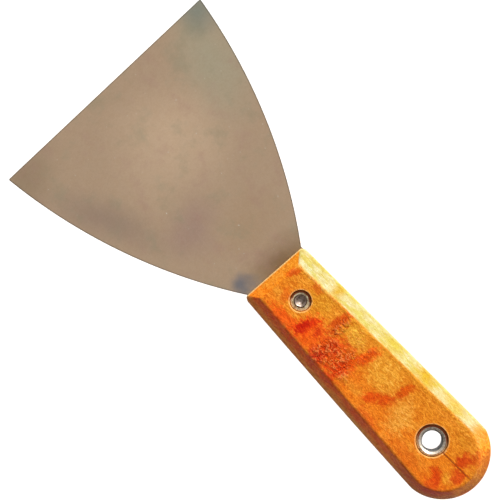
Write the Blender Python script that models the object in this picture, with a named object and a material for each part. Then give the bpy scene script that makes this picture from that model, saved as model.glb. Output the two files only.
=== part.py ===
"""Flexible putty knife: a thin steel blade with a full tang between two wooden scales.

One front rivet and one rear eyelet hold the four layers together. The eyelet is also the
hanging hole. Everything is riveted tight, so nothing turns or slides.

Frame, in metres: the knife lies flat on the lower scale. +Y runs from the handle to the
working edge, +X is to the right and +Z is up through the thickness. The origin is the
middle of the bounding box's bottom face. The blade is centred on x = 0, and the handle
sits a little to the left of it, as a hand-fitted handle does.
"""
import math
from collections import namedtuple

import bmesh
import bpy
from mathutils import Matrix, Vector

MM = 0.001

# ---- whole knife, mm
TOTAL_LENGTH = 207.2
EDGE_Y = TOTAL_LENGTH / 2           # the working edge
REAR_Y = -TOTAL_LENGTH / 2          # the rear end of the handle
GAP = 0.3                           # clearance between pieces that touch on the real knife

# ---- handle section, mm
HANDLE_THICKNESS = 15.3
MID_Z = HANDLE_THICKNESS / 2
BEVEL_HEIGHT = 4.4                  # how far down the wide bevel runs from either flat face
EDGE_ROUND = 0.35                   # small round along the bevel's edges

# ---- handle in plan, mm
Side = namedtuple("Side", "x_front x_rear bulge")
Outline = namedtuple("Outline", "front_left front_right left right drop end_centre end_radius")

# The full outline. The front face is a little out of square, and the handle sits a little to
# the left of the blade. drop is how far behind the front corners the sides begin.
FULL_OUTLINE = Outline(front_left=(-14.0, 9.0), front_right=(12.4, 8.1),
                       left=Side(-15.6, -18.85, 0.3), right=Side(14.15, 17.1, 0.0),
                       drop=1.8, end_centre=(-0.5, REAR_Y + 18.5), end_radius=18.5)

# The flat face left inside the wide bevel, which is broader on the right than on the left.
FACE_OUTLINE = Outline(front_left=(-11.0, 4.8), front_right=(8.1, 4.1),
                       left=Side(-11.2, -15.25, 0.0), right=Side(8.35, 12.75, 0.0),
                       drop=0.3, end_centre=(-1.4, REAR_Y + 17.55), end_radius=13.85)

# ---- blade, mm
EDGE_WIDTH = 100.5
EDGE_CORNER = 0.5                   # the corners of the working edge are just broken
SIDE_RADIUS = 219.0                 # each side of the blade is one long arc
ARC_CENTRE_BEYOND_EDGE = 29.0       # the arc's centre lies past the working edge
HEEL_Y = 8.4                        # where the blade leaves the handle
TANG_START_Y = 5.4                  # where the tang has reached the handle's width
TANG_THICKNESS = 0.9
EDGE_THICKNESS = 0.45
TANG_INSET = 0.3                    # the tang's rim sits just under the wood

# ---- metal pieces, mm
LIP_SOFTENING = 0.3                 # how far the edges of turned pieces are broken

# ---- front rivet, mm
RIVET_AT = (-0.65, -6.4)
RIVET_SHANK = 4.6
RIVET_RECESS = 8.3
RIVET_RECESS_DEPTH = 1.9
RIVET_HEAD = 7.6
RIVET_HEAD_THICKNESS = 1.1
RIVET_HEAD_FLAT = 0.7               # share of the head's radius before it curves up
RIVET_HEAD_RIM = 0.5                # thickness left at the head's rim
RIVET_TAIL = 5.3
RIVET_TAIL_THICKNESS = 0.6
RIVET_CUP = 3.0
RIVET_CUP_DEPTH = 5.5
RIVET_CUP_MOUTH = 0.4               # how much the cup widens at its mouth

# ---- rear eyelet, mm
EYELET_AT = (-0.65, -79.3)
EYELET_BORE = 7.7
EYELET_BARREL = 8.8
EYELET_RECESS = 12.5
EYELET_RECESS_DEPTH = 2.1
EYELET_FLANGE = 11.6
EYELET_FLANGE_THICKNESS = 0.7
EYELET_RIM = 10.8
EYELET_RIM_THICKNESS = 0.8
EYELET_FLARE = (1.0, 0.3)           # how much wider the bore is at the mouth and below it
EYELET_FLARE_DEPTH = (0.5, 1.3)     # how far down those two levels of the flare end
EYELET_FOOT_ROUND = 0.5             # where the barrel turns out into the flange

# ---- washers, mm
WASHER_THICKNESS = 0.5
RIVET_WASHER = 7.7
EYELET_WASHER = 11.9

# ---- mesh fineness
CREASE_ANGLE = 35                   # degrees between faces that meet in a crisp edge
EDGE_ROUND_ANGLE = 25               # degrees between faces whose edge gets the small round
CUTTER_OVERRUN = 1.0                # mm that a cutter stands past the face it cuts
SIDE_STEPS = 8
CORNER_STEPS = 3
CORNER_FULLNESS = 0.6               # 0 is a straight cut across the corner, 1 a full round
END_STEPS = 14
BLADE_STEPS = 26
ROUND_STEPS = 40
MERGE_DISTANCE = 1e-6


def clear_scene():
    """Remove every object, so that the script can be run again in the same file."""
    for old in list(bpy.data.objects):
        bpy.data.objects.remove(old, do_unlink=True)


def plain_material(name, colour, roughness, metallic):
    """Return a plain Principled material."""
    material = bpy.data.materials.new(name)
    material.use_nodes = True
    shader = material.node_tree.nodes["Principled BSDF"]
    shader.inputs["Base Color"].default_value = (*colour, 1.0)
    shader.inputs["Roughness"].default_value = roughness
    shader.inputs["Metallic"].default_value = metallic
    return material


def add_object(name, mesh_data, material):
    """Link a finished bmesh as a named object, shaded smooth with crisp edges."""
    bmesh.ops.recalc_face_normals(mesh_data, faces=mesh_data.faces)
    mesh = bpy.data.meshes.new(name)
    mesh_data.to_mesh(mesh)
    mesh_data.free()
    mesh.materials.append(material)
    mesh.shade_smooth()
    mesh.set_sharp_from_angle(angle=math.radians(CREASE_ANGLE))
    piece = bpy.data.objects.new(name, mesh)
    bpy.context.collection.objects.link(piece)
    return piece


def side_start(outline, side):
    """Return the point behind a front corner where a side of the handle begins."""
    front = outline.front_left if side is outline.left else outline.front_right
    return Vector((side.x_front, front[1] - outline.drop))


def side_x(outline, side, y, inset=0.0):
    """Return x on one side of the handle at height y: a nearly straight run, then the end arc.

    inset moves the whole side inwards.
    """
    centre_x, centre_y = outline.end_centre
    front_y = side_start(outline, side).y
    share = min(max((front_y - y) / (front_y - centre_y), 0.0), 1.0)
    outward = math.copysign(1.0, side.x_front)
    run = side.x_front + (side.x_rear - side.x_front) * share
    run += outward * side.bulge * 4 * share * (1 - share)
    run -= outward * inset
    if y >= centre_y:
        return run
    reach = math.sqrt(max((outline.end_radius - inset) ** 2 - (y - centre_y) ** 2, 0.0))
    arc = centre_x + outward * reach
    return outward * min(outward * run, outward * arc)


def corner_points(outline, side):
    """Return the points of the small round from a front corner to the start of a side."""
    begin = Vector(outline.front_left if side is outline.left else outline.front_right)
    finish = side_start(outline, side)
    elbow = begin.lerp(Vector((finish.x, begin.y)), CORNER_FULLNESS)
    points = []
    for step in range(1, CORNER_STEPS):
        t = step / CORNER_STEPS
        points.append(begin.lerp(elbow, t).lerp(elbow.lerp(finish, t), t))
    return points


def plan_points(outline):
    """Return the closed outline of the handle in plan, clockwise from the front-left corner."""
    centre_x, centre_y = outline.end_centre
    halves = []
    for side in (outline.right, outline.left):
        start = side_start(outline, side)
        points = corner_points(outline, side)
        for step in range(SIDE_STEPS):
            y = start.y + (centre_y - start.y) * step / SIDE_STEPS
            points.append(Vector((side_x(outline, side, y), y)))
        for step in range(END_STEPS):
            y = centre_y - outline.end_radius * math.sin(math.pi / 2 * step / END_STEPS)
            points.append(Vector((side_x(outline, side, y), y)))
        halves.append(points)
    right, left = halves
    rear_end = Vector((centre_x, centre_y - outline.end_radius))
    front = [Vector(outline.front_left), Vector(outline.front_right)]
    return front + right + [rear_end] + left[::-1]


def cylinder_cutter(name, at, diameter, z_low, z_high):
    """Add a hidden cylinder that cuts a bore or a recess."""
    cutter_mesh = bmesh.new()
    height = (z_high - z_low) * MM
    middle = Vector((at[0], at[1], (z_low + z_high) / 2)) * MM
    bmesh.ops.create_cone(cutter_mesh, cap_ends=True, segments=ROUND_STEPS,
                          radius1=diameter / 2 * MM, radius2=diameter / 2 * MM,
                          depth=height, matrix=Matrix.Translation(middle))
    mesh = bpy.data.meshes.new(name)
    cutter_mesh.to_mesh(mesh)
    cutter_mesh.free()
    cutter = bpy.data.objects.new(name, mesh)
    bpy.context.collection.objects.link(cutter)
    cutter.hide_render = True
    cutter.display_type = "WIRE"
    return cutter


def cut(piece, cutter):
    """Cut a piece with a hidden cutter."""
    modifier = piece.modifiers.new(cutter.name, "BOOLEAN")
    modifier.operation = "DIFFERENCE"
    modifier.solver = "EXACT"
    modifier.object = cutter


def make_scale(name, material, upward):
    """Build one wooden scale. upward is 1 for the upper scale and -1 for the lower one."""
    inner = MID_Z + upward * (TANG_THICKNESS / 2 + GAP)
    outer = MID_Z + upward * HANDLE_THICKNESS / 2
    shoulder = outer - upward * BEVEL_HEIGHT
    levels = ((FULL_OUTLINE, inner), (FULL_OUTLINE, shoulder), (FACE_OUTLINE, outer))
    body = bmesh.new()
    loops = []
    for outline, z in levels:
        points = plan_points(outline)
        loops.append([body.verts.new(Vector((p.x, p.y, z)) * MM) for p in points])
    count = len(loops[0])
    for below, above in zip(loops, loops[1:]):
        for i in range(count):
            j = (i + 1) % count
            body.faces.new((below[i], below[j], above[j], above[i]))
    body.faces.new(loops[0])
    body.faces.new(loops[-1])
    scale = add_object(name, body, material)
    rounding = scale.modifiers.new("edge_round", "BEVEL")
    rounding.width = EDGE_ROUND * MM
    rounding.segments = 2
    rounding.limit_method = "ANGLE"
    rounding.angle_limit = math.radians(EDGE_ROUND_ANGLE)
    bores = (("rivet", RIVET_AT, RIVET_SHANK, RIVET_RECESS, RIVET_RECESS_DEPTH),
             ("eyelet", EYELET_AT, EYELET_BARREL, EYELET_RECESS, EYELET_RECESS_DEPTH))
    for label, at, shank, recess, depth in bores:
        cut(scale, cylinder_cutter(f"{name}_{label}_bore", at, shank + 2 * GAP,
                                   -CUTTER_OVERRUN, HANDLE_THICKNESS + CUTTER_OVERRUN))
        low, high = sorted((outer - upward * depth, outer + upward * CUTTER_OVERRUN))
        cut(scale, cylinder_cutter(f"{name}_{label}_recess", at, recess, low, high))


def blade_half_width(y):
    """Return the blade's half width at height y, from the arc of its sides."""
    edge_rise = math.sqrt(SIDE_RADIUS ** 2 - ARC_CENTRE_BEYOND_EDGE ** 2)
    centre_x = EDGE_WIDTH / 2 - edge_rise
    below_centre = EDGE_Y + ARC_CENTRE_BEYOND_EDGE - y
    return centre_x + math.sqrt(SIDE_RADIUS ** 2 - below_centre ** 2)


def blade_rows():
    """Return (y, x left, x right, half thickness) from the working edge to the heel."""
    corner = EDGE_WIDTH / 2 - EDGE_CORNER
    rows = [(EDGE_Y, -corner, corner, EDGE_THICKNESS / 2)]
    start = EDGE_Y - EDGE_CORNER
    for step in range(BLADE_STEPS + 1):
        share = step / BLADE_STEPS
        y = start + (HEEL_Y - start) * share
        half = blade_half_width(y)
        thickness = EDGE_THICKNESS + (TANG_THICKNESS - EDGE_THICKNESS) * share
        rows.append((y, -half, half, thickness / 2))
    return rows


def tang_rows():
    """Return the same for the tang, from behind the heel to the rear end of the handle."""
    centre_y = FULL_OUTLINE.end_centre[1]
    end_radius = FULL_OUTLINE.end_radius - TANG_INSET
    stations = []
    for step in range(SIDE_STEPS):
        stations.append(TANG_START_Y + (centre_y - TANG_START_Y) * step / SIDE_STEPS)
    for step in range(END_STEPS):
        stations.append(centre_y - end_radius * math.sin(math.pi / 2 * step / END_STEPS))
    rows = []
    for y in stations:
        left = side_x(FULL_OUTLINE, FULL_OUTLINE.left, y, TANG_INSET)
        right = side_x(FULL_OUTLINE, FULL_OUTLINE.right, y, TANG_INSET)
        rows.append((y, left, right, TANG_THICKNESS / 2))
    return rows


def make_blade(material):
    """Build the blade and its tang as one plate that thins towards the working edge."""
    plate = bmesh.new()
    sections = []
    for y, left, right, half in blade_rows() + tang_rows():
        corners = ((left, -half), (right, -half), (right, half), (left, half))
        sections.append([plate.verts.new(Vector((x, y, MID_Z + z)) * MM) for x, z in corners])
    for near, far in zip(sections, sections[1:]):
        for i in range(4):
            j = (i + 1) % 4
            plate.faces.new((near[i], near[j], far[j], far[i]))
    plate.faces.new(sections[0])
    plate.faces.new(sections[-1])
    blade = add_object("blade", plate, material)
    low = MID_Z - TANG_THICKNESS
    high = MID_Z + TANG_THICKNESS
    cut(blade, cylinder_cutter("blade_rivet_hole", RIVET_AT, RIVET_SHANK + 2 * GAP, low, high))
    cut(blade, cylinder_cutter("blade_eyelet_hole", EYELET_AT, EYELET_BARREL + 2 * GAP, low, high))


def turned(name, at, profile, closed, material):
    """Turn a profile of (radius, z) points about the vertical axis through at."""
    lathe = bmesh.new()
    points = [lathe.verts.new(Vector((radius, 0.0, z)) * MM) for radius, z in profile]
    edges = [lathe.edges.new(pair) for pair in zip(points, points[1:])]
    if closed:
        edges.append(lathe.edges.new((points[-1], points[0])))
    bmesh.ops.spin(lathe, geom=points + edges, cent=(0, 0, 0), axis=(0, 0, 1),
                   angle=math.tau, steps=ROUND_STEPS, use_merge=True)
    bmesh.ops.remove_doubles(lathe, verts=lathe.verts, dist=MERGE_DISTANCE)
    piece = add_object(name, lathe, material)
    piece.location = Vector((at[0], at[1], 0.0)) * MM
    return piece


def make_front_rivet(material):
    """Build the semi-tubular rivet: a low domed head below, a hollow rolled tail above."""
    shank = RIVET_SHANK / 2
    tail = RIVET_TAIL / 2
    cup = RIVET_CUP / 2
    head = RIVET_HEAD / 2
    head_top = RIVET_RECESS_DEPTH - GAP
    head_low = head_top - RIVET_HEAD_THICKNESS
    tail_low = HANDLE_THICKNESS - RIVET_RECESS_DEPTH + 2 * GAP + WASHER_THICKNESS
    tail_top = tail_low + RIVET_TAIL_THICKNESS
    cup_floor = tail_top - RIVET_CUP_DEPTH
    soft = LIP_SOFTENING
    dome = [(0.0, head_low), (head * RIVET_HEAD_FLAT, head_low + soft / 2),
            (head, head_top - RIVET_HEAD_RIM), (head, head_top)]
    roll = [(shank, head_top), (shank, tail_low), (tail, tail_low), (tail, tail_top - soft),
            (tail - soft, tail_top), (cup + RIVET_CUP_MOUTH, tail_top)]
    hollow = [(cup, tail_top - RIVET_CUP_MOUTH), (cup, cup_floor), (0.0, cup_floor - cup / 3)]
    return turned("front_rivet", RIVET_AT, dome + roll + hollow, False, material)


def make_rear_eyelet(material):
    """Build the eyelet: a flange below, an open barrel, a flared rim rolled over above."""
    bore = EYELET_BORE / 2
    barrel = EYELET_BARREL / 2
    flange = EYELET_FLANGE / 2
    rim = EYELET_RIM / 2
    flange_top = EYELET_RECESS_DEPTH - GAP
    flange_low = flange_top - EYELET_FLANGE_THICKNESS
    rim_low = HANDLE_THICKNESS - EYELET_RECESS_DEPTH + 2 * GAP + WASHER_THICKNESS
    rim_top = rim_low + EYELET_RIM_THICKNESS
    soft = LIP_SOFTENING
    mouth, throat = EYELET_FLARE
    throat_depth, bore_depth = EYELET_FLARE_DEPTH
    foot = [(bore, flange_low + EYELET_FOOT_ROUND), (bore + EYELET_FOOT_ROUND, flange_low),
            (flange - soft, flange_low), (flange, flange_low + soft),
            (flange, flange_top), (barrel, flange_top)]
    lip = [(barrel, rim_low), (rim, rim_low), (rim, rim_top - soft), (rim - soft, rim_top)]
    flare = [(bore + mouth, rim_top), (bore + throat, rim_top - throat_depth),
             (bore, rim_top - bore_depth)]
    return turned("rear_eyelet", EYELET_AT, foot + lip + flare, True, material)


def make_washer(name, at, outside, inside, floor_depth, material):
    """Build one flat washer that lies on the floor of the upper scale's recess."""
    low = HANDLE_THICKNESS - floor_depth + GAP
    high = low + WASHER_THICKNESS
    profile = [(inside / 2, low), (outside / 2, low), (outside / 2, high), (inside / 2, high)]
    return turned(name, at, profile, True, material)


def build():
    """Build the whole knife."""
    clear_scene()
    steel = plain_material("blade_steel", (0.37, 0.28, 0.19), 0.42, 0.9)
    upper_wood = plain_material("upper_scale_wood", (0.83, 0.27, 0.03), 0.45, 0.0)
    lower_wood = plain_material("lower_scale_wood", (0.80, 0.25, 0.03), 0.45, 0.0)
    rivet_steel = plain_material("rivet_steel", (0.55, 0.52, 0.47), 0.35, 1.0)
    rivet_washer_steel = plain_material("rivet_washer_steel", (0.60, 0.57, 0.52), 0.4, 1.0)
    eyelet_steel = plain_material("eyelet_steel", (0.58, 0.56, 0.52), 0.3, 1.0)
    eyelet_washer_steel = plain_material("eyelet_washer_steel", (0.60, 0.57, 0.52), 0.4, 1.0)
    make_blade(steel)
    make_scale("upper_scale", upper_wood, 1)
    make_scale("lower_scale", lower_wood, -1)
    make_front_rivet(rivet_steel)
    make_washer("front_rivet_washer", RIVET_AT, RIVET_WASHER, RIVET_SHANK + 2 * GAP,
                RIVET_RECESS_DEPTH, rivet_washer_steel)
    make_rear_eyelet(eyelet_steel)
    make_washer("rear_eyelet_washer", EYELET_AT, EYELET_WASHER, EYELET_BARREL + 2 * GAP,
                EYELET_RECESS_DEPTH, eyelet_washer_steel)


build()
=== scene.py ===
"""Looks of the flexible putty knife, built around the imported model.

Lengths are in millimetres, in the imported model's own frame: +Y points to the working edge,
+Z up, and the origin lies under the middle of the knife. MM turns them into metres.
"""

import math
from collections import namedtuple

import bmesh
import bpy
from mathutils import Matrix, Vector, noise


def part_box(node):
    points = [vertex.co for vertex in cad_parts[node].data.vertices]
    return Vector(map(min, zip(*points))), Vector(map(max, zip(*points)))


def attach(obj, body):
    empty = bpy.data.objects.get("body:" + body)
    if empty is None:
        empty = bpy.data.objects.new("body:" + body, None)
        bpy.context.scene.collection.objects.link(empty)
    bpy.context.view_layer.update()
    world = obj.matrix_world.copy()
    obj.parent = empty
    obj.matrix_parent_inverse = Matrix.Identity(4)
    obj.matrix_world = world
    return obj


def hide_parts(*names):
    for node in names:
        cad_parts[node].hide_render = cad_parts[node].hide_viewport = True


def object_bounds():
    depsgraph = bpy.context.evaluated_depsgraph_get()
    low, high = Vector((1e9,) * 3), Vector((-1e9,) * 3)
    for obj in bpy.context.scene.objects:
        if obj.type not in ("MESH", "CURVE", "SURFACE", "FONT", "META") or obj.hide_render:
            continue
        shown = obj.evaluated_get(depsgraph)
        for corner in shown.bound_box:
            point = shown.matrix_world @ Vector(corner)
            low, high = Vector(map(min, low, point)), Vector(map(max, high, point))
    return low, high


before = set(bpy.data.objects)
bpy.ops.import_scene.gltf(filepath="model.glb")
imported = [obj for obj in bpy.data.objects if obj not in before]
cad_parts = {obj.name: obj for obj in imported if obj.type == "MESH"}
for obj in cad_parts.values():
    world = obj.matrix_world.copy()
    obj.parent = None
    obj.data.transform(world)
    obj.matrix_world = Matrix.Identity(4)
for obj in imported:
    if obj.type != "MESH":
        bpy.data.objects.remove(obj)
cad_low, cad_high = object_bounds()
noise.seed_set(4)                   # else noise_vector would differ from run to run

MM = 0.001

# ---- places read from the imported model, mm
REAR_Y = cad_low.y / MM
EDGE_Y = cad_high.y / MM
THICKNESS = cad_high.z / MM
MID_Z = THICKNESS / 2


def node_centre(node):
    """Return the middle of a CAD node in plan, mm."""
    low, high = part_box(node)
    return Vector(((low.x + high.x) / 2, (low.y + high.y) / 2)) / MM


RIVET_AT = node_centre("front_rivet")
EYELET_AT = node_centre("rear_eyelet")

# ---- handle in plan, as in the CAD model
Side = namedtuple("Side", "x_front x_rear bulge")
Outline = namedtuple("Outline", "front_left front_right left right drop end_centre end_radius")
FULL_OUTLINE = Outline(front_left=(-14.0, 9.0), front_right=(12.4, 8.1),
                       left=Side(-15.6, -18.85, 0.3), right=Side(14.15, 17.1, 0.0),
                       drop=1.8, end_centre=(-0.5, REAR_Y + 18.5), end_radius=18.5)
FACE_OUTLINE = Outline(front_left=(-11.0, 4.8), front_right=(8.1, 4.1),
                       left=Side(-11.2, -15.25, 0.0), right=Side(8.35, 12.75, 0.0),
                       drop=0.3, end_centre=(-1.4, REAR_Y + 17.55), end_radius=13.85)
BEVEL_HEIGHT = 4.4                  # how far down the bevel runs from either flat face
CORNER_FULLNESS = 0.6               # 0 is a straight cut across a front corner, 1 a full round

# ---- lines on the handle, for its paint
RIGHT_BORDER_SLOPE = 0.049          # the face's right border is where x + this * y is
RIGHT_BORDER_X = 8.55
RIGHT_CORNER_SLOPE = 1.07           # the right flank begins where x - this * y is
RIGHT_CORNER_X = 3.4
LEFT_CORNER_SLOPE = 0.714           # the left flank begins where x + this * y is
LEFT_CORNER_X = -7.3
CORNER_BLUR = 0.6                   # how wide the change of paint at those corners is
FRONT_SLOPE = 0.034                 # the scales' front end is where y + this * x is
FRONT_REACH = 8.52

# ---- handle section and mesh fineness
FIT_GAP = 0.04                      # what is left between pieces that touch
TANG_HALF = 0.45                    # half the tang's thickness
INNER_ROUND = 0.25
SHOULDER_ROUND = 0.55
FACE_ROUND = 0.75
ROUND_VARIATION = 0.56              # share by which the hand-sanded rounds vary
FRONT_STEPS = 22
CORNER_STEPS = 6
SIDE_STEPS = 220
END_STEPS = 56
ROUND_STEPS = 5
WALL_STEPS = 4
BEVEL_STEPS = 9
FACE_RINGS = 34
INNER_RINGS = 5
SPINE_X = -1.45                     # the face's spine begins here, this far behind its front
SPINE_INSET = 10.0
SANDING_DEPTH = 0.06                # how uneven the hand-sanded wood is
CRINKLE_DEPTH = 0.26                # how deep the valleys of the crinkled lacquer are
WEAR_REACH = 0.9                    # how far from an edge the lacquer is worn

# ---- blade
EDGE_WIDTH = 100.5
EDGE_CORNER = 0.5
SIDE_RADIUS = 219.0
ARC_CENTRE_BEYOND_EDGE = 29.0
EDGE_HALF = 0.225                   # half the thickness at the working edge
HEEL_Y = 8.4
TANG_START_Y = 5.4
TANG_INSET = 0.3
BLADE_ROWS = 150
BLADE_COLUMNS = 64
TANG_ROWS = 60
TANG_END_ROWS = 24
RIM_ROUND = 0.12
RIM_INSETS = (0.0, 0.04, RIM_ROUND, 0.35, 0.7)      # where points lie along either rim
EDGE_INSETS = (0.0, 0.15, 0.32, EDGE_CORNER)        # where rows lie along the working edge

# ---- drying crack behind the eyelet, from its recess to the rear bevel
CRACK_START = Vector((-0.75, -85.2))
CRACK_END = Vector((-0.15, -100.6))
CRACK_LENGTH = (CRACK_END - CRACK_START).length
CRACK_STEPS = 26
REAR_BEVEL_Y = -98.0                # where the crack runs down onto the rear bevel
REAR_BEVEL_SLOPE = 0.9

# ---- riveting: where each fastener sits, its shank, its recess and its washer
Seat = namedtuple("Seat", "at shank recess depth washer")
RIVET_SEAT = Seat(RIVET_AT, 4.6, 8.3, 1.9, 7.7)
EYELET_SEAT = Seat(EYELET_AT, 8.8, 12.5, 2.1, 11.9)
WASHER_THICKNESS = 0.5
RECESS_RIM = 0.34                   # radius of the softened rim round a recess
TAIL_DEPTH = 0.35                   # how far below the face a rolled tail or rim ends
TURN_STEPS = 112

# ---- light
KEY_AZIMUTH = 15                    # degrees from +X towards +Y
SHADE_AZIMUTH = KEY_AZIMUTH + 20    # recess walls on this side lie in shade

Patch = namedtuple("Patch", "x y reach_x reach_y turn colour strength")
# A ring of painted shade on a fastener, all round or on the shaded side only.
ShadeRing = namedtuple("ShadeRing", "inner outer shaded_side_only colour strength")

PLAIN = (1.0, 1.0, 1.0)             # the tone that leaves a colour as it is


def clamped(value):
    """Return a value held between 0 and 1."""
    return min(max(value, 0.0), 1.0)


def noise_at(x, y, z):
    """Return smooth noise about 0 at a place."""
    return noise.noise(Vector((x, y, z)))


def srgb(colour):
    """Return a screen colour, 0 to 255, as the linear colour that a shader takes."""
    linear = []
    for level in colour:
        share = level / 255
        linear.append(share / 12.92 if share <= 0.04045 else ((share + 0.055) / 1.055) ** 2.4)
    return (*linear, 1.0)


# =============================================================== node graphs

class Graph:
    """One material's nodes, written as plain expressions, and the colour painted so far."""

    def __init__(self, name, colour):
        self.material = bpy.data.materials.new(name)
        self.material.use_nodes = True
        self.tree = self.material.node_tree
        self.shader = self.tree.nodes["Principled BSDF"]
        coordinates = self.tree.nodes.new("ShaderNodeTexCoord").outputs["Object"]
        self.position = self.vector("SCALE", coordinates, scale=1 / MM)
        self.x, self.y, self.z = self.node("ShaderNodeSeparateXYZ", {0: self.position}).outputs
        self.colour = srgb(colour)

    def node(self, kind, values=None, **settings):
        """Add a node, set its properties, and plug or set its inputs."""
        made = self.tree.nodes.new(kind)
        for key, value in settings.items():
            setattr(made, key, value)
        for key, value in (values or {}).items():
            if isinstance(value, bpy.types.NodeSocket):
                self.tree.links.new(value, made.inputs[key])
            else:
                made.inputs[key].default_value = value
        return made

    def vector(self, operation, first, second=None, scale=None):
        """Return a vector expression."""
        values = {0: first}
        if second is not None:
            values[1] = second
        if scale is not None:
            values["Scale"] = scale
        made = self.node("ShaderNodeVectorMath", values, operation=operation)
        scalar = operation in ("LENGTH", "DOT_PRODUCT")
        return made.outputs["Value" if scalar else "Vector"]

    def math(self, operation, first, second=0.0, clamp=False):
        """Return a number expression."""
        made = self.node("ShaderNodeMath", {0: first, 1: second}, operation=operation)
        made.use_clamp = clamp
        return made.outputs[0]

    def times(self, *factors):
        """Return the product of several numbers."""
        product = factors[0]
        for factor in factors[1:]:
            product = self.math("MULTIPLY", product, factor)
        return product

    def plus(self, first, second):
        """Return the sum of two numbers."""
        return self.math("ADD", first, second)

    def minus(self, first, second):
        """Return the difference of two numbers."""
        return self.math("SUBTRACT", first, second)

    def noise(self, vector, scale, detail=2.0, roughness=0.5, distortion=0.0):
        """Return the noise node's outputs: a number and a colour."""
        values = {"Vector": vector, "Scale": scale, "Detail": detail,
                  "Roughness": roughness, "Distortion": distortion}
        return self.node("ShaderNodeTexNoise", values).outputs

    def texture(self, scale, turn=0.0, shift=(0.0, 0.0, 0.0), **settings):
        """Return noise with scale features for each mm along x, y and z, turned by degrees."""
        values = {"Vector": self.position, "Scale": scale, "Location": shift,
                  "Rotation": (0.0, 0.0, math.radians(turn))}
        placed = self.node("ShaderNodeMapping", values).outputs[0]
        return self.noise(placed, 1.0, **settings)[0]

    def spread(self, value, low, high, to_low=0.0, to_high=1.0):
        """Return value carried smoothly from low..high to to_low..to_high."""
        values = {0: value, 1: low, 2: high, 3: to_low, 4: to_high}
        made = self.node("ShaderNodeMapRange", values, interpolation_type="SMOOTHSTEP")
        return made.outputs[0]

    def mix(self, share, first, second, blend="MIX"):
        """Return a mix of two colours."""
        made = self.node("ShaderNodeMix", {0: share, 6: first, 7: second},
                         data_type="RGBA", blend_type=blend)
        return made.outputs[2]

    def warped(self, amounts):
        """Return the position pushed about by noise. amounts holds (scale, reach) pairs."""
        moved = self.position
        for scale, reach in amounts:
            push = self.noise(self.position, scale, detail=3.0)["Color"]
            push = self.vector("SUBTRACT", push, (0.5, 0.5, 0.5))
            moved = self.vector("ADD", moved, self.vector("SCALE", push, scale=reach * 2))
        return moved

    def patch_mask(self, vector, patch, core, fray):
        """Return 1 inside a soft ellipse and 0 outside it, with a frayed rim."""
        values = {"Vector": vector, "Location": (patch.x, patch.y, 0.0),
                  "Rotation": (0.0, 0.0, math.radians(patch.turn)),
                  "Scale": (patch.reach_x, patch.reach_y, 1000.0)}
        local = self.node("ShaderNodeMapping", values, vector_type="TEXTURE").outputs[0]
        reach = self.vector("LENGTH", local)
        if fray is not None:
            reach = self.plus(reach, fray)
        return self.spread(reach, 1.0, core, 0.0, patch.strength)

    def paint(self, share, colour, strength=1.0):
        """Lay a screen colour over the colour so far."""
        if strength < 1.0:
            share = self.times(share, strength)
        self.colour = self.mix(share, self.colour, srgb(colour))

    def tone(self, share, low, high):
        """Multiply the colour so far by a tone that runs from low to high with share."""
        tone = self.mix(share, (*low, 1.0), (*high, 1.0))
        self.colour = self.mix(1.0, self.colour, tone, "MULTIPLY")

    def blotch(self, vector, patches, core, fray=None):
        """Paint soft patches over the colour so far."""
        for patch in patches:
            self.paint(self.patch_mask(vector, patch, core, fray), patch.colour)

    def offset(self, centre):
        """Return the level vector from a centre to the position."""
        flat = self.vector("MULTIPLY", self.position, (1.0, 1.0, 0.0))
        return self.vector("SUBTRACT", flat, (centre.x, centre.y, 0.0))

    def facing(self, centre, azimuth):
        """Return 1 on the side of a centre that lies towards azimuth, -1 on the far side."""
        turn = math.radians(azimuth)
        towards = (math.cos(turn), math.sin(turn), 0.0)
        outward = self.vector("NORMALIZE", self.offset(centre))
        return self.vector("DOT_PRODUCT", outward, towards)

    def ring(self, centre, inner, outer, softness):
        """Return 1 between two radii about a vertical axis."""
        radius = self.vector("LENGTH", self.offset(centre))
        inside = self.spread(radius, outer + softness, outer)
        outside = self.spread(radius, inner - softness, inner) if inner > 0 else 1.0
        return self.times(inside, outside)

    def bump(self, height, distance, normal=None):
        """Return a normal raised by height, up to a distance in mm."""
        values = {"Height": height, "Distance": distance * MM}
        if normal is not None:
            values["Normal"] = normal
        return self.node("ShaderNodeBump", values).outputs[0]

    def attribute(self, name):
        """Return a number stored at the mesh's points."""
        return self.node("ShaderNodeAttribute", attribute_name=name).outputs["Fac"]

    def finish(self, values):
        """Plug or set the shader's inputs and return the material."""
        for key, value in {"Base Color": self.colour, **values}.items():
            if isinstance(value, bpy.types.NodeSocket):
                self.tree.links.new(value, self.shader.inputs[key])
            else:
                self.shader.inputs[key].default_value = value
        return self.material


# =============================================================== materials

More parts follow.
